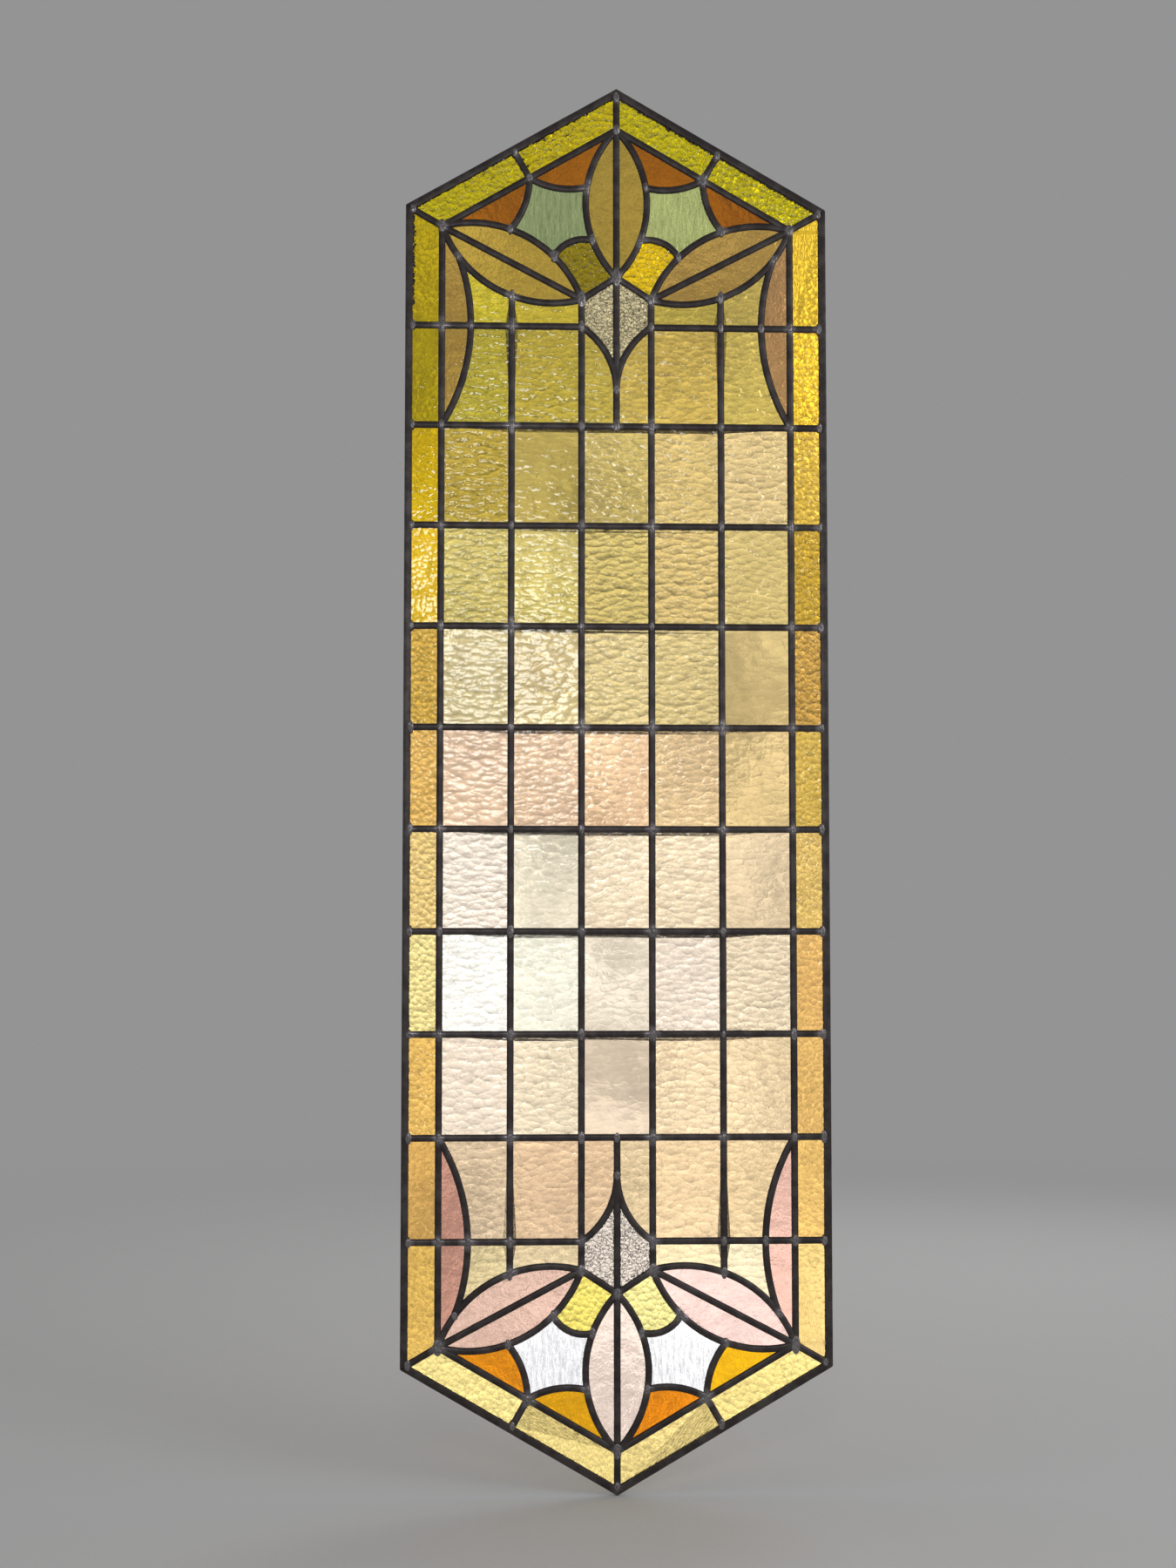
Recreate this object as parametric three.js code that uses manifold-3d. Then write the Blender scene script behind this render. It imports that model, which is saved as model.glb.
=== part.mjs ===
// A leaded stained glass light: a tall hexagon of cathedral glass, five quarries wide, with
// a border all round and the same ornament of petals, stars and a kite in its head and foot.
// Every pane sits in soldered lead cames of H-section; a came of U-section closes the edge.
// Millimetres, +Z up. The room side faces -Y. The origin is on the back face of the edge
// came, in the middle of its width, at the foot of the light.
import * as THREE from "three";
import { mergeVertices } from "three/addons/utils/BufferGeometryUtils.js";
import Module from "manifold-3d";

// ---- Driving dimensions ----

// The lattice, measured from heart to heart of the cames.
const quarryWidth = 77;
const quarryHeight = 111;
const columns = 5;
const fieldRows = 7;
const rake = Math.PI / 6;

// The border, measured square to the inner hexagon of cames.
const edgeReach = 40;
const edgeCameWidth = 8;
const edgeWeb = 2;

// Lead and glass. The clearance is the play left between pieces that touch.
const cameWidth = 7;
const cameDepth = 6.6;
const flange = 1.3;
const heartWidth = 1.8;
const glassThickness = 3;
const clearance = 0.3;

// The ornament. A rise is how far an arc stands off its chord, and a share is how far along
// an arc another came meets it.
const petalLength = 166.5;
const petalRise = 34;
const shoulderDrop = 25;
const kiteLength = 126;
const kiteRise = 10;
const lensRise = 22;
const lensForkShare = 0.2;
const starNearShare = 0.4;
const starFootShare = 0.7;
const starHeelShare = 0.73;
const starUpperRise = 6.3;
const starLowerRise = 8;
const starOuterRise = 5.5;

// The panes of one group hold together by tabs that pass through the heart between them.
const tabWidth = 6;

// An arc is drawn in chords that turn by about this much.
const chordTurn = THREE.MathUtils.degToRad(20);

// ---- Places in the plane of the glass: x across, z up from the middle of the light ----

const at = (x, z) => new THREE.Vector2(x, z);
const halfField = columns * quarryWidth / 2;
const rowLine = fieldRows * quarryHeight / 2;
const kiteLine = rowLine + quarryHeight;
const cornerHeight = kiteLine + quarryHeight;
const apexHeight = cornerHeight + halfField * Math.tan(rake);
const sightLine = edgeReach - edgeCameWidth;
const footDepth = apexHeight + (edgeReach + sightLine) / 2 / Math.cos(rake);
const glassReach = edgeReach - edgeWeb - clearance;
const outerColumn = -1.5 * quarryWidth;
const innerColumn = -0.5 * quarryWidth;

const apex = at(0, apexHeight);
const corner = at(-halfField, cornerHeight);
const starTop = apex.clone().lerp(corner, 0.5);
const hub = at(0, apexHeight - petalLength);
const shoulder = at(innerColumn, hub.y - shoulderDrop);
const kiteTip = at(0, hub.y - kiteLength);
const borderKite = at(-halfField, kiteLine);
const outerKite = at(outerColumn, kiteLine);
const innerKite = at(innerColumn, kiteLine);
const borderRow = at(-halfField, rowLine);
const outerRow = at(outerColumn, rowLine);
const innerRow = at(innerColumn, rowLine);
const middleRow = at(0, rowLine);

// ---- Lines of places ----

// A circular arc as a line of chords; it bows to the left of the way from start to end.
function arc(start, end, rise) {
  const chord = end.clone().sub(start);
  const turn = 4 * Math.atan(2 * rise / chord.length());
  const radius = chord.length() / (2 * Math.sin(turn / 2));
  const left = at(-chord.y, chord.x).normalize();
  const centre = start.clone().lerp(end, 0.5).addScaledVector(left, rise - radius);
  const chords = Math.max(2, Math.round(Math.abs(turn) / chordTurn));
  const line = [];
  for (let i = 0; i < chords; i += 1) {
    line.push(start.clone().rotateAround(centre, -turn * i / chords));
  }
  return [...line, end.clone()];
}

// The place a given share of the way along a line of equal chords.
function placeOn(line, share) {
  const chords = share * (line.length - 1);
  const chord = Math.min(Math.floor(chords), line.length - 2);
  return line[chord].clone().lerp(line[chord + 1], chords - chord);
}

// The share of the way along a line at which its x or y takes a value.
function shareWhere(line, axis, value) {
  const passed = (place, i) => i > 0 && (place[axis] - value) * (line[i - 1][axis] - value) <= 0;
  const chord = line.findIndex(passed) - 1;
  const part = (value - line[chord][axis]) / (line[chord + 1][axis] - line[chord][axis]);
  return (chord + part) / (line.length - 1);
}

// The stretch of a line between two shares of its way.
function stretch(line, from, to) {
  const margin = 0.001;
  const between = line.filter((_, i) => {
    const share = i / (line.length - 1);
    return share > from + margin && share < to - margin;
  });
  return [placeOn(line, from), ...between, placeOn(line, to)];
}

const backwards = (line) => line.slice().reverse();
const mirrored = (line, across, up) => line.map((place) => at(place.x * across, place.y * up));
const raised = (line, z) => line.map((place) => at(place.x, place.y + z));

// The inner hexagon of cames, moved outwards by a distance, anticlockwise from its top.
function hexagon(outwards) {
  const x = halfField + outwards;
  const top = apexHeight + outwards / Math.cos(rake);
  const z = top - x * Math.tan(rake);
  return [at(0, top), at(-x, z), at(-x, -z), at(0, -top), at(x, -z), at(x, z)];
}

// The outline of a strip along a line, mitred where the line bends.
function strip(line, width) {
  const last = line.length - 1;
  const left = [];
  const right = [];
  line.forEach((place, i) => {
    const along = line[Math.min(i + 1, last)].clone().sub(line[Math.max(i - 1, 0)]).normalize();
    const chord = line[Math.max(i, 1)].clone().sub(line[Math.max(i, 1) - 1]).normalize();
    const across = at(-along.y, along.x).multiplyScalar(width / 2 / along.dot(chord));
    left.push(place.clone().add(across));
    right.unshift(place.clone().sub(across));
  });
  return [...left, ...right];
}

// ---- Groups of panes ----

// A group fills one region of the lattice. Its rim is the run of came lines round it. Its bars
// are the straight cames that part its panes, each with the stretch from one distance to
// another along it where a tab passes through the heart.

const besideHeart = heartWidth / 2 + clearance;

function barTabbedAtStart(start, end) {
  return { start, end, tab: [0, besideHeart + tabWidth] };
}

function barTabbedAt(start, end, distance) {
  return { start, end, tab: [distance - tabWidth / 2, distance + tabWidth / 2] };
}

function barTabbedBeyond(start, end, distance) {
  return { start, end, tab: [distance, start.distanceTo(end)] };
}

// The arcs of the ornament in the upper left quarter of the light.
const centrePetal = backwards(arc(hub, apex, petalRise));
const petalUpper = arc(corner, shoulder, petalRise);
const petalLower = backwards(arc(shoulder, corner, petalRise));
const starUpper = arc(placeOn(centrePetal, starNearShare), starTop, starUpperRise);
const starOuter = arc(starTop, placeOn(petalUpper, starNearShare), starOuterRise);
const starFoot = placeOn(petalUpper, starFootShare);
const starLower = arc(starFoot, placeOn(centrePetal, starHeelShare), starLowerRise);
const lensArc = arc(placeOn(petalLower, lensForkShare), borderRow, lensRise);
const lensCross = placeOn(lensArc, shareWhere(lensArc, "y", kiteLine));
const columnShare = shareWhere(petalLower, "x", outerColumn);
const columnTop = placeOn(petalLower, columnShare);
const kiteArc = arc(innerKite, kiteTip, kiteRise);

// The groups of the upper left quarter.
function quarterGroups() {
  const centreBesideStar = stretch(centrePetal, starNearShare, starHeelShare);
  const centreBesideDrop = stretch(centrePetal, starHeelShare, 1);
  const upperBesideStar = stretch(petalUpper, starNearShare, starFootShare);
  const upperBesideDrop = stretch(petalUpper, starFootShare, 1);
  return {
    petal: {
      rim: [petalUpper, backwards(petalLower)],
      bars: [barTabbedAt(corner, shoulder, corner.distanceTo(shoulder) / 2)],
    },
    star: {
      rim: [starOuter, upperBesideStar, starLower, backwards(centreBesideStar), starUpper],
      bars: [],
    },
    drop: {
      rim: [backwards(starLower), upperBesideDrop, [shoulder, hub], backwards(centreBesideDrop)],
      bars: [],
    },
    spandrel_inner: {
      rim: [stretch(centrePetal, 0, starNearShare), starUpper, [starTop, apex]],
      bars: [],
    },
    spandrel_outer: {
      rim: [stretch(petalUpper, 0, starNearShare), backwards(starOuter), [starTop, corner]],
      bars: [],
    },
    lens: {
      rim: [stretch(petalLower, 0, lensForkShare), lensArc, [borderRow, corner]],
      bars: [barTabbedAtStart(borderKite, lensCross)],
    },
    ground_outer: {
      rim: [
        stretch(petalLower, lensForkShare, columnShare),
        [columnTop, outerRow],
        [outerRow, borderRow],
        backwards(lensArc),
      ],
      bars: [barTabbedAtStart(outerKite, lensCross)],
    },
    ground_inner: {
      rim: [
        stretch(petalLower, columnShare, 1),
        [shoulder, innerRow],
        [innerRow, outerRow],
        [outerRow, columnTop],
      ],
      bars: [barTabbedAtStart(outerKite, innerKite)],
    },
    ground_centre: {
      rim: [kiteArc, [kiteTip, middleRow], [middleRow, innerRow], [innerRow, innerKite]],
      bars: [],
    },
  };
}

// The two groups that lie across the middle line of the light.
function middleGroups() {
  const bothSides = (half) => [...half, ...backwards(half).map((line) => backwards(mirrored(line, -1, 1)))];
  return {
    petal_centre: {
      rim: bothSides([centrePetal]),
      bars: [barTabbedAt(apex, hub, petalLength / 2)],
    },
    kite: {
      rim: bothSides([[hub, shoulder], [shoulder, innerKite], kiteArc]),
      bars: [barTabbedAt(hub, kiteTip, hub.y - kiteLine)],
    },
  };
}

// One row of quarries, at mid-height of the light.
function quarryRow() {
  const [left, right, top] = [-halfField, halfField, quarryHeight / 2];
  const bars = [];
  for (let x = left + quarryWidth; x < right; x += quarryWidth) {
    bars.push(barTabbedAtStart(at(x, top), at(x, -top)));
  }
  return {
    rim: [
      [at(left, top), at(left, -top)],
      [at(left, -top), at(right, -top)],
      [at(right, -top), at(right, top)],
      [at(right, top), at(left, top)],
    ],
    bars,
  };
}

// A run of border panes between two mitre lines. It is open outwards, where the edge came
// holds it, and its tabs lie in the groove of that came.
function borderRun(first, crossings, last) {
  return {
    rim: [backwards(first), [first[0], last[0]], last],
    bars: crossings.map(([start, end]) => barTabbedBeyond(start, end, sightLine + clearance)),
  };
}

// The border runs on the left, from the head round to the foot.
function borderRuns() {
  const outOf = (place, x, z) => [place, place.clone().add(at(x, z).setLength(2 * edgeReach))];
  const atApex = outOf(apex, 0, 1);
  const atCorner = outOf(corner, -Math.cos(rake), Math.sin(rake));
  const atStar = outOf(starTop, -Math.sin(rake), Math.cos(rake));
  const rows = [];
  for (let z = kiteLine; z >= -kiteLine; z -= quarryHeight) {
    rows.push(outOf(at(-halfField, z), -1, 0));
  }
  const below = (line) => mirrored(line, 1, -1);
  return {
    head: borderRun(atApex, [atStar], atCorner),
    side: borderRun(atCorner, rows, below(atCorner)),
    foot: borderRun(below(atCorner), [below(atStar)], below(atApex)),
  };
}

// ---- Every group by name, in its place ----

const hands = { left: 1, right: -1 };
const ends = { head: 1, foot: -1 };

const moved = ({ rim, bars }, move) => ({
  rim: rim.map(move),
  bars: bars.map(({ start, end, tab }) => {
    const [movedStart, movedEnd] = move([start, end]);
    return { start: movedStart, end: movedEnd, tab };
  }),
});

function placedGroups() {
  const groups = {};
  for (const [hand, across] of Object.entries(hands)) {
    for (const [run, group] of Object.entries(borderRuns())) {
      groups[`border_${run}_${hand}`] = moved(group, (line) => mirrored(line, across, 1));
    }
  }
  for (const [end, up] of Object.entries(ends)) {
    for (const [kind, group] of Object.entries(middleGroups())) {
      groups[`${end}_${kind}`] = moved(group, (line) => mirrored(line, 1, up));
    }
    for (const [hand, across] of Object.entries(hands)) {
      for (const [kind, group] of Object.entries(quarterGroups())) {
        groups[`${end}_${kind}_${hand}`] = moved(group, (line) => mirrored(line, across, up));
      }
    }
  }
  return groups;
}

const lightGroups = placedGroups();
const rowHeights = Array.from({ length: fieldRows }, (_, i) => (i + 0.5) * quarryHeight - rowLine);
const rowGroups = rowHeights.map((z) => moved(quarryRow(), (line) => raised(line, z)));

// ---- Solids ----

const wasm = await Module();
wasm.setup();

function solidOf(geometry) {
  geometry.deleteAttribute("normal");
  geometry.deleteAttribute("uv");
  const merged = mergeVertices(geometry, 1e-4);
  const vertProperties = merged.attributes.position.array;
  const triVerts = Uint32Array.from(merged.index.array);
  return new wasm.Manifold(new wasm.Mesh({ numProp: 3, vertProperties, triVerts }));
}

// A flat plate with a given outline, between two depths in front of the back face.
function plate(outline, back, front) {
  const shape = new THREE.Shape(outline);
  const geometry = new THREE.ExtrudeGeometry(shape, { depth: front - back, bevelEnabled: false });
  geometry.translate(0, 0, back);
  geometry.rotateX(Math.PI / 2);
  return solidOf(geometry);
}

const joined = (solids) => solids.reduce((whole, solid) => whole.add(solid));
const cutBy = (solid, cutters) => cutters.reduce((rest, cutter) => rest.subtract(cutter), solid);

// The lengths of a bar on both sides of its tab, each kept a little short of it.
function barLengths({ start, end, tab }, play) {
  const [from, to] = tab;
  const along = (distance) => start.clone().lerp(end, distance / start.distanceTo(end));
  const lengths = [];
  if (from > play) {
    lengths.push([start, along(from - play)]);
  }
  if (to + play < start.distanceTo(end)) {
    lengths.push([along(to + play), end]);
  }
  return lengths;
}

// The region of a group as a plate between two depths, less the half width of the lead along
// its rim and along the lines that part it.
function region({ rim }, partings, halfWidth, back, front) {
  const places = rim.flat();
  const outline = places.filter((place, i) => place.distanceTo(places.at(i - 1)) > clearance);
  const lead = [...rim, ...partings].map((line) => plate(strip(line, 2 * halfWidth), back - 1, front + 1));
  return cutBy(plate(outline, back, front), lead);
}

// ---- Lead ----

// The net of cames at one width, between two depths: a hexagon with every region cut out.
function net(width, partingsOf, back, front) {
  const regions = [...Object.values(lightGroups), ...rowGroups]
    .map((group) => region(group, partingsOf(group), width / 2, back - 1, front + 1));
  return cutBy(plate(hexagon(sightLine - clearance), back, front), regions);
}

// The soldered net of H-section: two flanges on a heart that leaves room for the tabs.
function cameNet() {
  const wholeBars = ({ bars }) => bars.map(({ start, end }) => [start, end]);
  const tabbedBars = ({ bars }) => bars.flatMap((bar) => barLengths(bar, clearance));
  return joined([
    net(cameWidth, wholeBars, 0, flange),
    net(heartWidth, tabbedBars, flange / 2, cameDepth - flange / 2),
    net(cameWidth, wholeBars, cameDepth - flange, cameDepth),
  ]);
}

// One length of edge came between places of the hexagon, grooved from the inside for the
// glass and mitred at the corners.
function edgeCame(places) {
  const outer = hexagon(edgeReach);
  const inner = hexagon(sightLine);
  const outline = [...places.map((i) => outer[i]), ...places.map((i) => inner[i]).reverse()];
  const groove = plate(hexagon(edgeReach - edgeWeb), flange, cameDepth - flange);
  const mitres = Object.values(hands).flatMap((across) => Object.values(ends).map((up) => {
    const [, , mitre] = borderRuns().head.rim;
    return plate(strip(mirrored(mitre, across, up), clearance), -1, cameDepth + 1);
  }));
  return cutBy(plate(outline, 0, cameDepth), [groove, ...mitres]);
}

// ---- Glass ----

const glassBack = (cameDepth - glassThickness) / 2;
const glassFront = glassBack + glassThickness;

function panes(group) {
  const slots = group.bars.flatMap((bar) => barLengths(bar, 0));
  const inside = plate(hexagon(glassReach), 0, cameDepth);
  return region(group, slots, besideHeart, glassBack, glassFront).intersect(inside);
}

// ---- Materials ----

const leadFinish = () => new THREE.MeshStandardMaterial({ color: 0x4d4644, roughness: 0.5, metalness: 0.8 });

const glassTints = {
  border: 0xd2a42a,
  petal: 0xb59068,
  star: 0xa9c4a0,
  drop: 0xc9a52c,
  spandrel: 0xb86a10,
  kite: 0xd6cfc0,
  lens: 0xa77f68,
  ground: 0xc9b64a,
  quarry: 0xd9c58c,
};

function glassFinish(name) {
  const kind = Object.keys(glassTints).find((word) => name.includes(word));
  return new THREE.MeshStandardMaterial({
    color: glassTints[kind],
    roughness: 0.2,
    metalness: 0,
    transparent: true,
    opacity: 0.75,
  });
}

// ---- The light ----

const light = new THREE.Group();
light.position.z = footDepth;

function geometryOf(solid) {
  const { vertProperties, triVerts } = solid.getMesh();
  const geometry = new THREE.BufferGeometry();
  geometry.setAttribute("position", new THREE.BufferAttribute(vertProperties, 3));
  geometry.setIndex(new THREE.BufferAttribute(triVerts, 1));
  geometry.computeVertexNormals();
  return geometry;
}

function addPiece(name, geometry, material) {
  const mesh = new THREE.Mesh(geometry, material);
  mesh.name = name;
  light.add(mesh);
  return mesh;
}

addPiece("lead_came_net", geometryOf(cameNet()), leadFinish());

const edgePlaces = { left: [1, 2], right: [4, 5], head: [5, 0, 1], foot: [2, 3, 4] };
for (const [side, places] of Object.entries(edgePlaces)) {
  addPiece(`edge_came_${side}`, geometryOf(edgeCame(places)), leadFinish());
}

for (const [name, group] of Object.entries(lightGroups)) {
  addPiece(name, geometryOf(panes(group)), glassFinish(name));
}

const rowGeometry = geometryOf(panes(quarryRow()));
rowHeights.forEach((z, i) => {
  const name = `quarry_row_${i + 1}`;
  addPiece(name, rowGeometry, glassFinish(name)).position.z = z;
});

export default light;
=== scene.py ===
import math
import random

import bmesh
import bpy
from mathutils import Matrix, Vector, kdtree, noise


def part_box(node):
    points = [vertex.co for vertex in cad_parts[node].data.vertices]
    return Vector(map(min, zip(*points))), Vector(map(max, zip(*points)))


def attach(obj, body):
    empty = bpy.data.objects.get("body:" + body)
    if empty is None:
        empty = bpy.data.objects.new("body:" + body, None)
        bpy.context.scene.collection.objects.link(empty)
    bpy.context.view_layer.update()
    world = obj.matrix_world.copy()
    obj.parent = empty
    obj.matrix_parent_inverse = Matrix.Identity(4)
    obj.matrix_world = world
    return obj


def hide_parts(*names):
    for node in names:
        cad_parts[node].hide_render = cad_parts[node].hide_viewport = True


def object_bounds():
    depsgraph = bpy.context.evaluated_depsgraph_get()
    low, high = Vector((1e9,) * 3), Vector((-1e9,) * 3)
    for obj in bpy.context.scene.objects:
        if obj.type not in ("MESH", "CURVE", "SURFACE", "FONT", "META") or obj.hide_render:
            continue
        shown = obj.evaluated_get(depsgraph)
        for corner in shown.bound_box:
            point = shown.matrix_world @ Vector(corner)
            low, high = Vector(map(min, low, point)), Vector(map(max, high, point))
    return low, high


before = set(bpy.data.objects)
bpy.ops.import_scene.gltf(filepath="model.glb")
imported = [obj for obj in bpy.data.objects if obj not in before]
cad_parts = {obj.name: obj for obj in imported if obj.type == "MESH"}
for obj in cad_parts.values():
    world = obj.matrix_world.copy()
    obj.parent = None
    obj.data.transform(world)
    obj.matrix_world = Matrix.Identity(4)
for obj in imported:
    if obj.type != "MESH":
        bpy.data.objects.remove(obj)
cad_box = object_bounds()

# ---- Where it is seen from ----
# The light stands upright, as it is built into its wall. It is seen from two and a half metres
# away, a little from the left and looking slightly up, through a lens of moderate length.

mm = 0.001
low, high = cad_box
middle = (low.z + high.z) / 2
eye = Vector((-143.1 * mm, -2464.4 * mm, middle - 165.5 * mm))
turn_right = math.radians(2.6)
look_up = math.radians(3.7)
lens_length = 52
film_height = 36

camera_data = bpy.data.cameras.new("camera")
camera_data.sensor_width = film_height
camera_data.lens = lens_length
camera = bpy.data.objects.new("camera", camera_data)
camera.location = eye
camera.rotation_euler = (math.pi / 2 + look_up, 0, -turn_right)
bpy.context.scene.collection.objects.link(camera)
bpy.context.scene.camera = camera


# ---- The studio ----
# A plain pale floor fades into an equally pale surround. Soft boxes light the lead from the
# room side, and a lit shell all round, which only the glass shows, stands for the day.

surround_grey = 0.296
floor_radius = 4
floor_fades_from = 0.9
daylight_distance = 3
daylight_patch = 260 * mm
daylight_glow = 1.3
darkest_patch = 0.7
patch_contrast = 0.62


class Shade:
    """A socket of a material's nodes. Sums written with it add Math nodes."""

    def __init__(self, tree, socket=None):
        self.tree = tree
        self.socket = socket

    def node(self, kind, settings=None, sockets=None, output=0):
        """Adds any other node: its type, its settings, then the values or links of its sockets."""
        made = self.tree.nodes.new(kind)
        for name, value in (settings or {}).items():
            setattr(made, name, value)
        for name, value in (sockets or {}).items():
            if isinstance(value, Shade):
                self.tree.links.new(value.socket, made.inputs[name])
            else:
                made.inputs[name].default_value = value
        return Shade(self.tree, made.outputs[output] if made.outputs else None)

    def math(self, operation, *values):
        return self.node("ShaderNodeMath", {"operation": operation}, dict(enumerate(values)))

    def vector(self, operation, *values, output=0):
        return self.node("ShaderNodeVectorMath", {"operation": operation}, dict(enumerate(values)), output)

    def __add__(self, other):
        return self.math("ADD", self, other)

    def __sub__(self, other):
        return self.math("SUBTRACT", self, other)

    def __rsub__(self, other):
        return self.math("SUBTRACT", other, self)

    def __mul__(self, other):
        return self.math("MULTIPLY", self, other)

    __radd__ = __add__
    __rmul__ = __mul__

    def limited(self, lowest, highest):
        return self.node("ShaderNodeClamp", None, {"Value": self, "Min": lowest, "Max": highest})

    def between(self, start, end):
        """0 below start and 1 above end, with a soft step between them."""
        settings = {"interpolation_type": "SMOOTHSTEP"}
        sockets = {"Value": self, "From Min": start, "From Max": end}
        return self.node("ShaderNodeMapRange", settings, sockets)

    def mixed(self, first, second):
        """The first colour where this value is 0 and the second where it is 1."""
        settings = {"data_type": "RGBA"}
        return self.node("ShaderNodeMix", settings, {0: self, 6: first, 7: second}, output=2)

    def places(self):
        """Places on the finished object, in metres."""
        return self.node("ShaderNodeTexCoord", output=3)

    def noise(self, places, size, detail=2, roughness=0.5, output=0):
        """Cloudy noise from 0 to 1 with features of a given size in metres."""
        sockets = {"Vector": places, "Scale": 1 / size, "Detail": detail, "Roughness": roughness}
        return self.node("ShaderNodeTexNoise", None, sockets, output)

    def cells(self, places, size, feature="F1"):
        """The distance to the middle, or to the edge, of the cells of a foam of a given size."""
        sockets = {"Vector": places, "Scale": 1 / size}
        return self.node("ShaderNodeTexVoronoi", {"feature": feature}, sockets)


def linear(red, green, blue):
    """A colour given in the usual steps from 0 to 255, as the shader's own numbers."""
    steps = (red / 255, green / 255, blue / 255)
    return (*((s / 12.92 if s < 0.04045 else ((s + 0.055) / 1.055) ** 2.4) for s in steps), 1)


def new_material(name):
    """An empty material and the shade that adds its nodes."""
    material = bpy.data.materials.new(name)
    material.use_nodes = True
    material.node_tree.nodes.clear()
    return material, Shade(material.node_tree)


def finish_material(shade, surface):
    shade.node("ShaderNodeOutputMaterial", None, {"Surface": surface})


def add_piece(name, bm, *materials):
    """A new object at the origin with the mesh of bm."""
    mesh = bpy.data.meshes.new(name)
    bm.to_mesh(mesh)
    bm.free()
    for material in materials:
        mesh.materials.append(material)
    piece = bpy.data.objects.new(name, mesh)
    bpy.context.scene.collection.objects.link(piece)
    return piece


bpy.context.scene.view_settings.view_transform = "Standard"
world = bpy.data.worlds.new("surround")
world.use_nodes = True
world.node_tree.nodes["Background"].inputs["Color"].default_value = (surround_grey,) * 3 + (1,)
bpy.context.scene.world = world

floor_paint, shade = new_material("floor_paint")
from_middle = shade.vector("LENGTH", shade.places(), output=1)
paint = shade.node("ShaderNodeBsdfDiffuse", None, {"Color": (0.8, 0.8, 0.8, 1)})
open_air = shade.node("ShaderNodeBsdfTransparent")
finish_material(shade, shade.node("ShaderNodeMixShader", None, {
    0: from_middle.between(floor_fades_from, floor_radius), 1: paint, 2: open_air}))
bm = bmesh.new()
bmesh.ops.create_circle(bm, cap_ends=True, segments=64, radius=floor_radius)
bmesh.ops.translate(bm, verts=bm.verts, vec=(0, 0, low.z))
floor = add_piece("floor", bm, floor_paint)
floor.visible_transmission = False

daylight, shade = new_material("daylight")
patches = shade.noise(shade.places(), daylight_patch, detail=2).between(0.34, 0.66)
finish_material(shade, shade.node("ShaderNodeEmission", None, {
    "Color": (1, 1, 1, 1), "Strength": daylight_glow * (darkest_patch + patch_contrast * patches)}))
daylight.cycles.emission_sampling = "NONE"
bm = bmesh.new()
place = Matrix.Translation((0, 0, middle))
bmesh.ops.create_icosphere(bm, subdivisions=3, radius=daylight_distance, matrix=place)
shell = add_piece("daylight_shell", bm, daylight)
for ray in ("camera", "diffuse", "glossy", "shadow", "volume_scatter"):
    setattr(shell, f"visible_{ray}", False)

soft_boxes = {
    "key": {"from": (-0.15, -2.7, 1.2), "size": 0.4, "power": 5},
    "fill": {"from": (2.1, -2.2, 1.6), "size": 1.6, "power": 14},
    "back": {"from": (1.2, 2.4, 1.9), "size": 1.6, "power": 12},
}
for name, box in soft_boxes.items():
    light_data = bpy.data.lights.new(name, "AREA")
    light_data.size = box["size"]
    light_data.energy = box["power"]
    light = bpy.data.objects.new(name, light_data)
    light.location = box["from"]
    light.visible_camera = False
    towards = Vector((0, 0, middle)) - light.location
    light.rotation_euler = towards.to_track_quat("-Z", "Y").to_euler()
    bpy.context.scene.collection.objects.link(light)


# ---- The edge came ----
# Lead of U-section closes the edge in four lengths, mitred at the corners and soldered there.
# It is drawn, so its outer corners are round, and dressed to the glass by hand.

lead_grey = linear(88, 82, 81)
lead_dark = linear(64, 57, 57)
solder_grey = linear(186, 181, 186)
came_depth = 6.6 * mm
edge_round = 0.8 * mm
dent = 0.12 * mm
dent_size = 14 * mm
dent_seed = 5
noise.seed_set(dent_seed)


def lead_material():
    """Old lead: a dull dark skin, paler where it is rubbed, and bright tinned solder."""
    material, shade = new_material("old_lead")
    places = shade.places()
    soldered = shade.node("ShaderNodeAttribute", {"attribute_name": "solder"}, output=2)
    blotches = shade.noise(places, 16 * mm, detail=4, roughness=0.6)
    grain = shade.noise(places, 1.6 * mm, detail=3, roughness=0.6)
    skin = blotches.between(0.35, 0.7).mixed(lead_dark, lead_grey)
    tinned = grain.between(0.2, 0.8).mixed(lead_grey, solder_grey)
    bright = soldered * (0.55 + 0.45 * blotches)
    height = 0.6 * grain + 0.4 * blotches
    bump = shade.node("ShaderNodeBump", None, {
        "Strength": 0.35, "Distance": 0.3 * mm, "Height": height})
    finish_material(shade, shade.node("ShaderNodeBsdfPrincipled", None, {
        "Base Color": bright.limited(0, 1).mixed(skin, tinned),
        "Metallic": 0.7,
        "Roughness": 0.4 - 0.18 * bright,
        "Normal": bump,
    }))
    return material


old_lead = lead_material()


def dents(place, size, depth):
    """A soft push in a direction that changes with the place."""
    return noise.noise_vector(place / size) * depth


def dress(bm):
    """Small dents of lead that was bent and rubbed down by hand."""
    for vert in bm.verts:
        vert.co += dents(vert.co, dent_size, dent)


def smooth(piece, angle):
    piece.data.shade_smooth()
    piece.data.set_sharp_from_angle(angle=math.radians(angle))
    return piece


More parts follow.
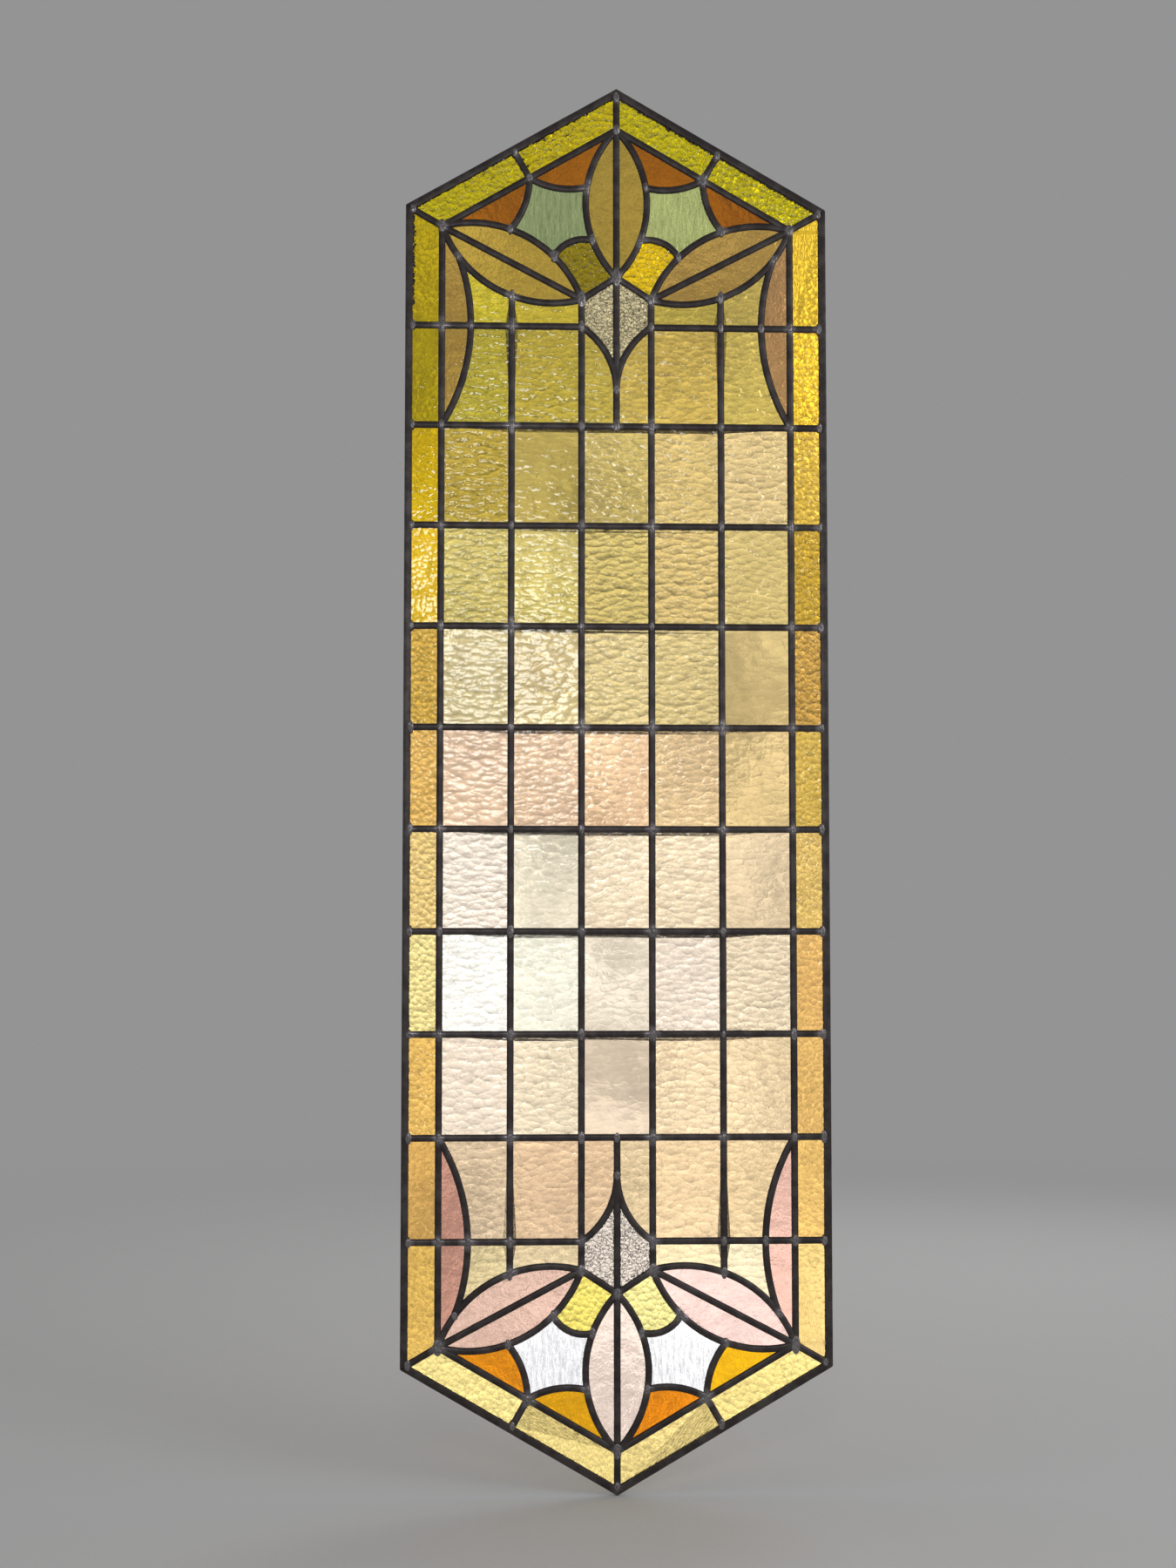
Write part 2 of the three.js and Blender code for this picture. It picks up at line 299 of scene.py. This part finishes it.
def cut_across(bm, faces, axis, spacing):
    """Cuts faces by parallel planes at an even spacing, from one side of them to the other."""
    normal = Vector((0, 0, 0))
    normal[axis] = 1
    along = [vert.co[axis] for face in faces for vert in face.verts]
    start, end = min(along), max(along)
    cuts = max(1, round((end - start) / spacing))
    done = []
    for i in range(1, cuts):
        place = normal * (start + (end - start) * i / cuts)
        parts = {part for face in faces for part in (face, *face.edges, *face.verts)}
        cut = bmesh.ops.bisect_plane(bm, geom=list(parts), plane_co=place, plane_no=normal)
        faces = [part for part in cut["geom"] if isinstance(part, bmesh.types.BMFace)]
        done += [face for face in faces if face.calc_center_median()[axis] < place[axis]]
        faces = [face for face in faces if face.calc_center_median()[axis] > place[axis]]
    return done + faces


def copy_of(node):
    """A copy of a CAD node's mesh with its loose triangles joined into whole faces."""
    bm = bmesh.new()
    bm.from_mesh(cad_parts[node].data)
    bmesh.ops.remove_doubles(bm, verts=bm.verts, dist=1e-6)
    bmesh.ops.dissolve_limit(
        bm, angle_limit=math.radians(1), use_dissolve_boundaries=False,
        verts=bm.verts, edges=bm.edges, delimit=set())
    return bm


dressing_step = 8 * mm
for side in ("left", "right", "head", "foot"):
    node = f"edge_came_{side}"
    bm = copy_of(node)
    bm.verts.layers.float.new("solder")
    bmesh.ops.bevel(
        bm, geom=bm.edges[:], offset=edge_round, offset_type="OFFSET", segments=3,
        profile=0.5, affect="EDGES", material=-1, clamp_overlap=True)
    cut_across(bm, bm.faces[:], 2 if side in ("left", "right") else 0, dressing_step)
    dress(bm)
    came = smooth(add_piece(f"{node}_lead", bm, old_lead), 40)
    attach(came, "root")
    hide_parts(node)


# ---- The glass, sheet by sheet ----
# Rolled cathedral glass of 3 mm, smooth outside and figured on the room side by the roller.
# The panes are cut by hand and slipped into the grooves of the cames.

quarry_width = 77 * mm
quarry_height = 111 * mm
half_field = 2.5 * quarry_width
outer_x = -1.5 * quarry_width
inner_x = -0.5 * quarry_width
row_line = 3.5 * quarry_height
kite_line = row_line + quarry_height
glass_step = 4 * mm
# How far apart the figure is compared for the painted highlight and shade across it.
painted_relief_reach = 0.7 * mm
sheet_marks = (3.7, 9.1, 5.3)


def rippled_figure(shade, places):
    """Soft ripples, wider than tall, from 0 to 1."""
    wander = shade.vector("MULTIPLY_ADD", shade.noise(places, 9 * mm, 1, output=1), (5 * mm,) * 3, places)
    cells = shade.cells(shade.vector("MULTIPLY", wander, (0.6, 1, 1.25)), 7.5 * mm)
    return 1 - 1.3 * cells * cells + 0.35 * shade.noise(places, 2.6 * mm, 2)


def hammered_figure(shade, places):
    """Round domes pressed close together, with sharp creases between them."""
    wander = shade.vector("MULTIPLY_ADD", shade.noise(places, 6 * mm, 1, output=1), (3 * mm,) * 3, places)
    cells = shade.cells(wander, 5.5 * mm)
    return 1 - 1.5 * cells * cells + 0.3 * shade.noise(places, 2.2 * mm, 2)


def seedy_figure(shade, places):
    """A nearly even face with a soft wave."""
    return 0.9 * shade.noise(places, 12 * mm, 3, 0.55)


def reamy_figure(shade, places):
    """Upright streaks like slow water."""
    return 1.3 * shade.noise(shade.vector("MULTIPLY", places, (1.5, 1, 0.4)), 7 * mm, 3, 0.6)


def granular_figure(shade, places):
    """Small many-sided grains with creases between them, which the painted relief shade darkens on one side.
    """
    return shade.cells(places, 4.4 * mm, "DISTANCE_TO_EDGE").between(0, 0.2)


def glass_material(name, figure, push, painted_relief_contrast, painted_light_lean=(0, 0, painted_relief_reach)):
    """Clear coloured glass. A pane's colour and the strength of its figure come with the pane; its colour
    also carries a painted highlight and shade across the figure.
    """
    material, shade = new_material(name)
    tint = shade.node("ShaderNodeAttribute", {"attribute_name": "tint"})
    strength = shade.node("ShaderNodeAttribute", {"attribute_name": "tint"}, output=3)
    sheet = shade.node("ShaderNodeCombineXYZ", None, {
        "Y": shade.vector("DOT_PRODUCT", tint, sheet_marks, output=1)})
    places = shade.vector("ADD", shade.places(), sheet)
    height = figure(shade, places)
    # Painted light and shade: the figure's height here less its height a little above, and a little aside for
    # the reamy glass, so each rise is painted lighter on one side and darker on the other.
    painted_relief_light_and_shade = height - figure(shade, shade.vector("ADD", places, painted_light_lean))
    clouds = shade.noise(places, 24 * mm, detail=3, roughness=0.55).between(0.25, 0.75)
    # light: cloudy streaks of the glass itself plus that painted highlight and shade, divided by the daylight
    # glow so painted highlights can rise above the plain pane colour.
    light = (0.92 + 0.14 * clouds + painted_relief_contrast * strength * painted_relief_light_and_shade).limited(0.3, daylight_glow)
    bump = shade.node("ShaderNodeBump", None, {
        "Strength": 1.0, "Distance": push, "Height": height * strength})
    finish_material(shade, shade.node("ShaderNodeBsdfPrincipled", None, {
        "Base Color": shade.node("ShaderNodeVectorMath", {"operation": "SCALE"}, {
            0: tint, "Scale": light * (1 / daylight_glow)}),
        "Transmission Weight": 1.0,
        "Roughness": 0.03,
        "IOR": 1.5,
        "Specular IOR Level": 0.3,
        "Normal": bump,
    }))
    return material


rippled_glass = glass_material("rippled_glass", rippled_figure, 0.8 * mm, 2.0)
hammered_glass = glass_material("hammered_glass", hammered_figure, 0.8 * mm, 2.2)
seedy_glass = glass_material("seedy_glass", seedy_figure, 1.2 * mm, 2.0)
reamy_glass = glass_material("reamy_glass", reamy_figure, 0.8 * mm, 2.0, (painted_relief_reach, 0, 0))
granular_glass = glass_material("granular_glass", granular_figure, 0.7 * mm, 1.0)


def waves(place, across, up, seed):
    """Soft waves of a given size across and up, from -1 to 1."""
    return noise.noise(Vector((place.x / across, seed, place.z / up)))


def rolled(place):
    """The broad unevenness of a rolled sheet, on which the finer figure lies."""
    return 0.3 * mm * waves(place, 22 * mm, 14 * mm, 1) + 0.2 * mm * waves(place, 11 * mm, 9 * mm, 2)


def leaded_panes(node, material, tint):
    """The panes of one CAD node, figured on the room side and coloured pane by pane."""
    bm = copy_of(node)
    front = [face for face in bm.faces if face.normal.y < -0.99]
    lowest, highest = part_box(node)
    size = highest - lowest
    axes = (0, 2) if size.x > size.z else (2, 0)
    for axis in axes:
        front = cut_across(bm, front, axis, glass_step)
    colours = bm.verts.layers.float_color.new("tint")
    for vert in bm.verts:
        vert[colours] = tint(vert.co.x, vert.co.z - middle)
    for face in front:
        face.smooth = True
    for vert in {vert for face in front for vert in face.verts}:
        vert.co.y -= rolled(vert.co)
    panes = add_piece(f"{node}_glass", bm, material)
    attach(panes, "root")
    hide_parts(node)


def sheet_shift(seed, x, z):
    """Small differences between panes cut from different places of a sheet."""
    pick = noise.cell_vector(Vector((x + 0.5, seed + 0.5, z + 0.5)))
    return 0.97 + 0.06 * pick.x, 0.97 + 0.06 * pick.y, 0.94 + 0.12 * pick.z


def shifted(colour, shift, strength):
    """A pane's own colour, with the strength of its figure as the fourth part."""
    return (*(min(1, part * by) for part, by in zip(colour, shift)), strength)


def blended(stops, value):
    """The colour at a value between two of the stops, which go from low to high."""
    for (start, first), (end, second) in zip(stops, stops[1:]):
        if value <= end:
            share = max(0, (value - start) / (end - start))
            return tuple(a + (b - a) * share for a, b in zip(first, second))
    return stops[-1][1]


# ---- The quarries and the ground ----
# Thirty-five upright quarries of straw glass, and the same glass as the ground of the ornament.
# The sheets go from olive in the head over peach and cream to pale straw in the foot: over the glass's own
# straw, this is painted shade and daylight from behind it.

# Straw glass with painted daylight and shade from behind it, row by row, on the left and the right of the
# field.
straw_and_painted_daylight = {
    "left": [
        (-5, linear(226, 202, 152)),
        (-4, linear(220, 192, 160)),
        (-3, linear(236, 220, 196)),
        (-2, linear(250, 248, 238)),
        (-1, linear(244, 236, 220)),
        (0, linear(244, 210, 176)),
        (1, linear(228, 208, 158)),
        (2, linear(206, 188, 104)),
        (3, linear(170, 152, 44)),
        (4, linear(166, 152, 50)),
        (5, linear(192, 176, 44)),
    ],
    "right": [
        (-5, linear(248, 230, 188)),
        (-4, linear(240, 210, 160)),
        (-2, linear(242, 222, 186)),
        (-1, linear(243, 214, 172)),
        (0, linear(226, 196, 138)),
        (2, linear(208, 184, 118)),
        (3, linear(222, 194, 138)),
        (4, linear(202, 176, 92)),
        (5, linear(186, 164, 84)),
    ],
}


def across_sheets(sheets, row, x):
    """The colour of a row, glass with its painted daylight and shade, at a place between the left and the
    right of the field.
    """
    share = min(max(x / half_field / 2 + 0.5, 0), 1)
    left, right = (blended(sheets[hand], row) for hand in ("left", "right"))
    return tuple(a + (b - a) * share for a, b in zip(left, right))


quarry_figure = {-3: 0.9, -2: 0.8, -1: 1.0, 0: 0.5, 1: 1.2, 2: 1.5, 3: 0.9}
ground_figure = {-5: 0.5, -4: 0.6, 4: 0.7, 5: 0.6}


def quarry_tint(x, z):
    column = math.floor(x / quarry_width + 0.5)
    row = math.floor(z / quarry_height + 0.5)
    shift = sheet_shift(1, column, row)
    strength = quarry_figure[row] * (0.7 + 0.6 * noise.cell(Vector((column + 0.5, 7.5, row + 0.5))))
    return shifted(across_sheets(straw_and_painted_daylight, row, column * quarry_width), shift, strength)


for row in range(1, 8):
    leaded_panes(f"quarry_row_{row}", rippled_glass, quarry_tint)


def ground_tint(x, z):
    panel = math.copysign(1 + (abs(x) > -outer_x) + (abs(x) > -inner_x), x)
    row = round(math.copysign(4 + (abs(z) > kite_line), z))
    colour = across_sheets(straw_and_painted_daylight, row, panel * quarry_width * 0.7)
    return shifted(colour, sheet_shift(2, panel, row), ground_figure[row])


for end in ("head", "foot"):
    for place in ("outer", "inner", "centre"):
        for hand in ("left", "right"):
            leaded_panes(f"{end}_ground_{place}_{hand}", rippled_glass, ground_tint)


# ---- The border ----
# A run of hammered golden glass all round. Greenish yellow in the head, mustard and gold down the sides,
# amber lower down and pale gold in the foot: over the glass's own gold, this is painted shade and daylight
# from behind it.

gold_and_painted_daylight = {
    "left": [
        (-5, linear(226, 184, 92)),
        (-4, linear(220, 172, 92)),
        (-3, linear(230, 188, 100)),
        (-2, linear(243, 220, 148)),
        (-1, linear(236, 205, 132)),
        (0, linear(228, 182, 98)),
        (1, linear(208, 170, 70)),
        (2, linear(214, 176, 36)),
        (3, linear(198, 168, 12)),
        (4, linear(168, 146, 8)),
        (5, linear(170, 148, 6)),
    ],
    "right": [
        (-5, linear(249, 212, 134)),
        (-4, linear(250, 204, 116)),
        (-2, linear(237, 190, 110)),
        (-1, linear(231, 191, 108)),
        (0, linear(214, 176, 84)),
        (1, linear(190, 148, 66)),
        (2, linear(184, 148, 48)),
        (3, linear(208, 172, 62)),
        (4, linear(218, 180, 44)),
        (5, linear(204, 170, 46)),
    ],
}
side_figure = {
    "left": {
        6: 0.3, 5: 0.3, 4: 0.2, 3: 0.2, 2: 0.2, 1: 0.8, 0: 0.7,
        -1: 0.9, -2: 1.0, -3: 0.6, -4: 0.2, -5: 0.4, -6: 0.4,
    },
    "right": {
        6: 0.4, 5: 0.4, 4: 0.9, 3: 0.8, 2: 0.9, 1: 1.3, 0: 0.6,
        -1: 0.6, -2: 0.5, -3: 0.4, -4: 0.3, -5: 0.3, -6: 0.3,
    },
}
# The head slopes are painted darker and greener as in shade, the foot slopes paler as in daylight.
head_gold_in_painted_shade = linear(174, 158, 3)
foot_gold_in_painted_daylight = linear(248, 222, 142)


def side_tint(x, z):
    hand = "left" if x < 0 else "right"
    row = math.floor(z / quarry_height + 0.5)
    shift = sheet_shift(3, math.copysign(1, x), row)
    return shifted(blended(gold_and_painted_daylight[hand], row), shift, side_figure[hand][row])


def slope_tint(x, z):
    panel = math.copysign(1 + (abs(x) > half_field / 2), x)
    shift = sheet_shift(4, panel, math.copysign(1, z))
    return shifted(head_gold_in_painted_shade if z > 0 else foot_gold_in_painted_daylight, shift, 1.2 if z > 0 else 0.6)


for hand in ("left", "right"):
    leaded_panes(f"border_side_{hand}", hammered_glass, side_tint)
    for end in ("head", "foot"):
        leaded_panes(f"border_{end}_{hand}", hammered_glass, slope_tint)


# ---- The ornament of head and foot ----
# Petals and lenses of seedy rose glass, stars of reamy glass, drops of hammered gold, orange spandrels and
# kites of clear granular glass. Each head colour is darker and more olive than its foot colour, tan on the
# petals: painted shade and daylight from behind the same glass.

# Head colour first, then foot colour; the difference between them is painted shade and daylight from behind
# the glass.
ornament = {
    "petal_centre": (seedy_glass, linear(150, 126, 50), linear(248, 226, 212)),
    "petal_left": (seedy_glass, linear(172, 144, 56), linear(226, 188, 170)),
    "petal_right": (seedy_glass, linear(166, 134, 66), linear(246, 212, 202)),
    "lens_left": (seedy_glass, linear(158, 128, 58), linear(204, 150, 130)),
    "lens_right": (seedy_glass, linear(164, 126, 80), linear(243, 194, 176)),
    "star_left": (reamy_glass, linear(128, 140, 96), linear(246, 246, 248)),
    "star_right": (reamy_glass, linear(158, 166, 104), linear(252, 252, 254)),
    "drop_left": (hammered_glass, linear(126, 110, 2), linear(247, 227, 112)),
    "drop_right": (hammered_glass, linear(206, 172, 2), linear(251, 238, 154)),
    "spandrel_inner_left": (seedy_glass, linear(146, 86, 1), linear(232, 168, 1)),
    "spandrel_inner_right": (seedy_glass, linear(140, 82, 1), linear(240, 142, 1)),
    "spandrel_outer_left": (seedy_glass, linear(140, 82, 1), linear(224, 138, 1)),
    "spandrel_outer_right": (seedy_glass, linear(142, 82, 1), linear(244, 184, 1)),
    "kite": (granular_glass, linear(194, 182, 142), linear(240, 226, 212)),
}

for kind, (material, *tints) in ornament.items():
    for end, colour in zip(("head", "foot"), tints):
        leaded_panes(f"{end}_{kind}", material, lambda x, z: colour)


# ---- The inner cames ----
# Round-faced lead of H-section, 7 mm wide. The rows run through from edge to edge; uprights and
# arcs are cut between them, and everything is soldered together on both faces.

came_width = 7 * mm
came_step = 4 * mm
heart_width = 1.8 * mm
flange = 1.3 * mm
sight_line = 32 * mm
rake = math.pi / 6
petal_length = 166.5 * mm
petal_rise = 34 * mm
shoulder_drop = 25 * mm
kite_length = 126 * mm
kite_rise = 10 * mm
lens_rise = 22 * mm
lens_fork_share = 0.2
star_near_share = 0.4
star_foot_share = 0.7
star_heel_share = 0.73
star_upper_rise = 6.3 * mm
star_lower_rise = 8 * mm
star_outer_rise = 5.5 * mm


def at(x, z):
    return Vector((x, z))


class Line:
    """The middle line of a came in the window's plane: straight, or an arc that bows to its left."""

    def __init__(self, start, end, rise=0):
        self.start, self.end = start, end
        chord = end - start
        self.turn = 4 * math.atan(2 * rise / chord.length)
        self.along = chord.normalized()
        self.length = chord.length
        if rise:
            radius = chord.length / (2 * math.sin(self.turn / 2))
            left = at(-chord.y, chord.x).normalized()
            self.centre = start.lerp(end, 0.5) + left * (rise - radius)
            self.along = Matrix.Rotation(self.turn / 2, 2) @ self.along
            self.length = self.turn * radius

    def at(self, share):
        if self.turn == 0:
            return self.start.lerp(self.end, share)
        return self.centre + Matrix.Rotation(-self.turn * share, 2) @ (self.start - self.centre)

    def share_at(self, axis, value):
        """The share of the way at which x or z takes a value, found by halving."""
        first, last = 0.0, 1.0
        rises = self.end[axis] > self.start[axis]
        for _ in range(30):
            half = (first + last) / 2
            first, last = (half, last) if (self.at(half)[axis] < value) == rises else (first, half)
        return first

    def moved(self, across, up):
        """The same line mirrored across and up."""
        line = Line(at(self.start.x * across, self.start.y * up), at(self.end.x * across, self.end.y * up))
        if self.turn:
            line.turn = self.turn * across * up
            line.length = self.length
            line.centre = at(self.centre.x * across, self.centre.y * up)
            line.along = at(self.along.x * across, self.along.y * up)
        return line


corner_height = kite_line + quarry_height
apex = at(0, corner_height + half_field * math.tan(rake))
corner = at(-half_field, corner_height)
star_top = apex.lerp(corner, 0.5)
hub = at(0, apex.y - petal_length)
shoulder = at(-quarry_width / 2, hub.y - shoulder_drop)
kite_tip = at(0, hub.y - kite_length)
border_row = at(-half_field, row_line)

centre_petal = Line(apex, hub, -petal_rise)
petal_upper = Line(corner, shoulder, petal_rise)
petal_lower = Line(corner, shoulder, -petal_rise)
lens_arc = Line(petal_lower.at(lens_fork_share), border_row, lens_rise)
column_top = petal_lower.at(petal_lower.share_at(0, outer_x))

quarter_lines = [
    centre_petal,
    petal_upper,
    petal_lower,
    Line(corner, shoulder),
    lens_arc,
    Line(centre_petal.at(star_near_share), star_top, star_upper_rise),
    Line(star_top, petal_upper.at(star_near_share), star_outer_rise),
    Line(petal_upper.at(star_foot_share), centre_petal.at(star_heel_share), star_lower_rise),
    Line(hub, shoulder),
    Line(at(inner_x, kite_line), kite_tip, kite_rise),
]


slope_out = at(-math.sin(rake), math.cos(rake))
border_lines = [
    Line(star_top, star_top + slope_out * sight_line),
    Line(corner, corner + at(-math.cos(rake), math.sin(rake)) * sight_line / math.cos(rake)),
]
middle_lines = [
    Line(apex, apex + at(0, sight_line / math.cos(rake))),
    Line(apex, hub),
    Line(hub, kite_tip),
    Line(kite_tip, at(0, row_line)),
]
row_heights = [row_line - quarry_height * i for i in range(8)]
edge_x = half_field + sight_line

cames = {"rows": [], "uprights": [], "head_ornament": [], "foot_ornament": [], "hexagon": []}
cames["rows"] += [Line(at(-edge_x, z), at(edge_x, z)) for z in row_heights]
for across in (1, -1):
    for x, top in ((outer_x, column_top.y), (inner_x, shoulder.y)):
        cames["uprights"].append(Line(at(x * across, top), at(x * across, -top)))
    cames["hexagon"].append(Line(at(corner.x * across, corner.y), at(corner.x * across, -corner.y)))
    for up, end in ((1, "head_ornament"), (-1, "foot_ornament")):
        cames[end] += [line.moved(across, up) for line in quarter_lines]
        cames["rows"].append(Line(at(-edge_x * across, kite_line * up), at(inner_x * across, kite_line * up)))
        cames["hexagon"].append(Line(apex, corner).moved(across, up))
        cames["hexagon"] += [line.moved(across, up) for line in border_lines]
for up, end in ((1, "head_ornament"), (-1, "foot_ornament")):
    cames[end] += [line.moved(1, up) for line in middle_lines]


def joints_of_cames():
    """Every place where cames meet, with the number of came ends and crossings there."""
    places = [place for lines in cames.values() for line in lines for place in (line.start, line.end)]
    for across in (1, -1):
        for x in (corner.x, outer_x, inner_x):
            places += [at(x * across, z) for z in row_heights]
        lens_cross = lens_arc.at(lens_arc.share_at(1, kite_line))
        for up in (1, -1):
            crossings = (corner.x, outer_x, lens_cross.x)
            places += [at(x * across, kite_line * up) for x in crossings]
    joints = []
    for place in places:
        near = [joint for joint in joints if (place - joint[0]).length < 4 * mm]
        if near:
            near[0][1] += 1
        else:
            joints.append([place, 1])
    return joints


joints = joints_of_cames()
joint_tree = kdtree.KDTree(len(joints))
for i, (joint, _) in enumerate(joints):
    joint_tree.insert((joint.x, joint.y, 0), i)
joint_tree.balance()

solder_reach = 9 * mm
solder_core = 3.5 * mm
solder_swell = 0.35 * mm


def solder_at(place):
    """How much solder lies at a place, from 0 to 1: joints differ in size and their edges wander."""
    _, i, distance = joint_tree.find((place.x, place.z - middle, 0))
    size = 0.75 + 0.5 * noise.cell(Vector((i + 0.5, 0.5, 0.5)))
    distance += 1.5 * mm * noise.noise(place / (3 * mm))
    share = (solder_reach * size - distance) / (solder_reach - solder_core)
    share = min(max(share, 0), 1)
    return share * share * (3 - 2 * share)


def came_section():
    """The H-section, clockwise from the left tip of the front flange, as width and depth."""
    half = came_width / 2
    crown = [(-1, 0), (-0.93, 0.3), (-0.72, 0.66), (-0.4, 0.92), (0, 1)]
    crown += [(-x, rise) for x, rise in reversed(crown[:-1])]
    front = [(half * x, came_depth - flange + flange * rise) for x, rise in crown]
    hearts = [(heart_width / 2, came_depth - flange), (heart_width / 2, flange)]
    back = [(width, came_depth - depth) for width, depth in reversed(front)]
    mirror_hearts = [(-width, depth) for width, depth in reversed(hearts)]
    return front + hearts + back + mirror_hearts


def drawn(bm, line, section, step):
    """Draws a section along a line by a spin, which for a straight line has no angle."""
    across = at(-line.along.y, line.along.x)
    verts = []
    for width, depth in section:
        place = line.start + across * width
        verts.append(bm.verts.new((place.x, -depth, middle + place.y)))
    face = bm.faces.new(verts)
    steps = max(1, round(line.length / step))
    centre = line.centre if line.turn else line.start
    push = (line.end - line.start) / steps if line.turn == 0 else at(0, 0)
    bmesh.ops.spin(
        bm, geom=[*verts, *face.edges, face], cent=(centre.x, 0, middle + centre.y),
        axis=(0, -1, 0), dvec=(push.x, 0, push.y), angle=-line.turn, steps=steps,
        use_merge=False, use_normal_flip=False, use_duplicate=False)


for name, lines in cames.items():
    bm = bmesh.new()
    for line in lines:
        drawn(bm, line, came_section(), came_step)
    bmesh.ops.recalc_face_normals(bm, faces=bm.faces)
    solder = bm.verts.layers.float.new("solder")
    for vert in bm.verts:
        vert[solder] = solder_at(vert.co)
        side = -1 if vert.co.y < -came_depth / 2 else 1
        vert.co.y += side * solder_swell * vert[solder]
    dress(bm)
    net = smooth(add_piece(f"cames_{name}", bm, old_lead), 50)
    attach(net, "root")
    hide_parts("lead_came_net")


# ---- The putty ----
# Dark glazing cement fills the play between glass and lead. A thin ragged fillet along both edges of every
# came, on both faces, is partly cement left after brushing and partly a dark strip standing in for the shade
# at the came edges.

putty_brown = linear(46, 38, 32)
putty_step = 7 * mm
putty_width = 0.2 * mm
putty_inner = 3.1 * mm
putty_low = 4.7 * mm
putty_high = 5.4 * mm
putty_ragged = 0.15 * mm

putty, shade = new_material("putty")
crumb = shade.noise(shade.places(), 1.2 * mm, detail=4, roughness=0.7)
finish_material(shade, shade.node("ShaderNodeBsdfPrincipled", None, {
    "Base Color": crumb.between(0.3, 0.8).mixed(putty_brown, linear(84, 74, 64)),
    "Roughness": 0.9,
    "Normal": shade.node("ShaderNodeBump", None, {
        "Strength": 0.8, "Distance": 0.4 * mm, "Height": crumb}),
}))


def putty_and_rim_shade_sections():
    """The four fillets of a came, left and right, on the front and the back: cement, and a dark strip for the
    shade at its edges.
    """
    toe = came_width / 2 + putty_width
    fillet = [(putty_inner, putty_low), (putty_inner, putty_high)]
    fillet += [(came_width / 2, putty_high), (toe, putty_low)]
    for hand in (1, -1):
        yield [(width * hand, depth) for width, depth in fillet]
        yield [(width * hand, came_depth - depth) for width, depth in fillet]


for name, lines in cames.items():
    bm = bmesh.new()
    for line in lines:
        for section in putty_and_rim_shade_sections():
            drawn(bm, line, section, putty_step)
    bmesh.ops.recalc_face_normals(bm, faces=bm.faces)
    for vert in bm.verts:
        vert.co += dents(vert.co, 5 * mm, putty_ragged)
    fillets = add_piece(f"putty_{name}", bm, putty)
    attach(fillets, "root")


# ---- The solder joints ----
# Tinned solder is run over every joint on both faces and stands proud as a soft lump. It flows
# furthest along the uprights, and joints of many cames take a larger patch.

solder_width = 3.2 * mm
solder_length = 6.2 * mm
solder_height = 1.2 * mm
random.seed(3)
for side, depth in (("front", came_depth - 0.3 * mm), ("back", 0.3 * mm)):
    bm = bmesh.new()
    solder = bm.verts.layers.float.new("solder")
    for joint, ends in joints:
        size = (1 + 0.1 * max(0, ends - 2)) * random.uniform(0.85, 1.15)
        lump = at(solder_width * size, solder_length * size * random.uniform(0.7, 1.1))
        spread = Matrix.Diagonal((lump.x, solder_height, lump.y, 1))
        place = Matrix.Translation((joint.x, -depth, middle + joint.y))
        bmesh.ops.create_icosphere(bm, subdivisions=3, radius=1, matrix=place @ spread)
    for vert in bm.verts:
        vert[solder] = 1
        vert.co += dents(vert.co, 2.5 * mm, 0.5 * mm)
    lumps = smooth(add_piece(f"solder_joints_{side}", bm, old_lead), 180)
    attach(lumps, "root")
    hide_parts("lead_came_net")


# ---- The mortar ----
# Dark crumbs of old bedding mortar still cling between the edge came and the border, along the
# right slope of the head and at the top of the left side.

crumb_depth = 5.4 * mm
crumb_spacing = 0.9 * mm
crumb_spread = 1.1 * mm
crumb_sizes = (0.4 * mm, 1.7 * mm)
crumb_flatness = 0.6
crumb_dent = 0.6 * mm
outer_apex = middle_lines[0].end
outer_corner = border_lines[1].end
mortar_runs = [
    Line(outer_apex, at(-outer_corner.x, outer_corner.y)),
    Line(outer_corner, at(outer_corner.x, kite_line + 0.2 * quarry_height)),
]
bm = bmesh.new()
for run in mortar_runs:
    inwards = at(run.along.y, -run.along.x) * (1 if run is mortar_runs[0] else -1)
    count = round(run.length / crumb_spacing)
    for i in range(count):
        place = run.at((i + random.random()) / count) + inwards * abs(random.gauss(0, crumb_spread))
        size = random.uniform(*crumb_sizes)
        where = Matrix.Translation((place.x, -crumb_depth, middle + place.y))
        flattened = where @ Matrix.Diagonal((1, crumb_flatness, 1, 1))
        bmesh.ops.create_icosphere(bm, subdivisions=1, radius=size, matrix=flattened)
for vert in bm.verts:
    vert.co += dents(vert.co, 1.5 * mm, crumb_dent)
crumbs = add_piece("mortar_crumbs", bm, putty)
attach(crumbs, "root")
